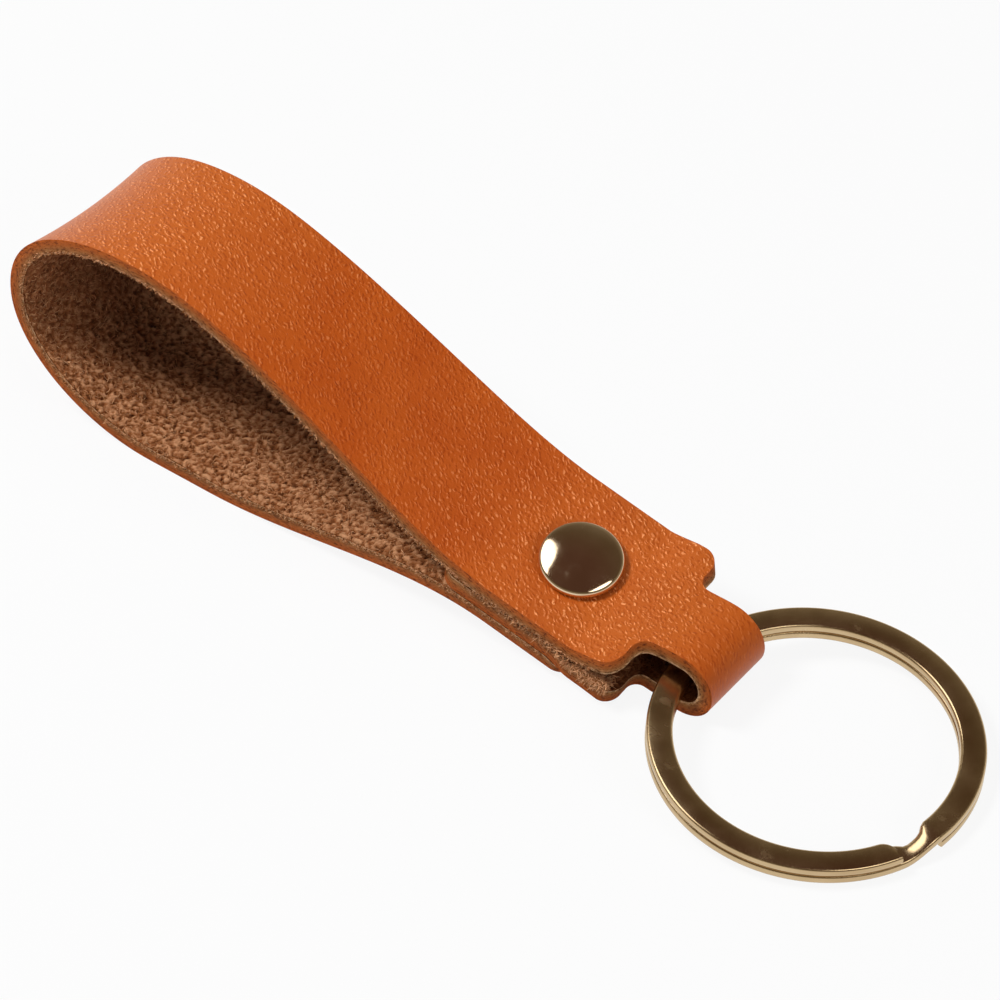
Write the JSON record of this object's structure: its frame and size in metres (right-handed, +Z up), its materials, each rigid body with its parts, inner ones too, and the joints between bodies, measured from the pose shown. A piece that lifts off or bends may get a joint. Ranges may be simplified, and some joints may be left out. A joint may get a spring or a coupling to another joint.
{
  "type": "leather keychain",
  "caption": "Strap of folded leather with a domed rivet and a split ring: the ring swings in the fold and holds keys, the loop takes a finger or a belt",
  "frame": {"origin": "middle of the footprint, on the table", "axes": "+X along the strap towards the ring, +Y across the strap, +Z up"},
  "size_m": [0.101, 0.03, 0.0238],
  "materials": {
    "leather": "pebbled grain",
    "rivet_brass": "polished",
    "ring_brass": "antique, polished"
  },
  "bodies": {
    "fob": {"leather_strip": "leather", "rivet_cap": "rivet_brass", "rivet_socket": "rivet_brass", "rivet_post": "rivet_brass", "rivet_back_cap": "rivet_brass"},
    "ring": {"split_ring": "ring_brass"}
  },
  "joints": [
    {"name": "ring_swing", "type": "hinge", "parent": "fob", "child": "ring", "pos_m": [0.02219, 0.00165, 0.0035], "axis": [0.1219, 0.9925, 0], "range_deg": [-165, 140]}
  ]
}
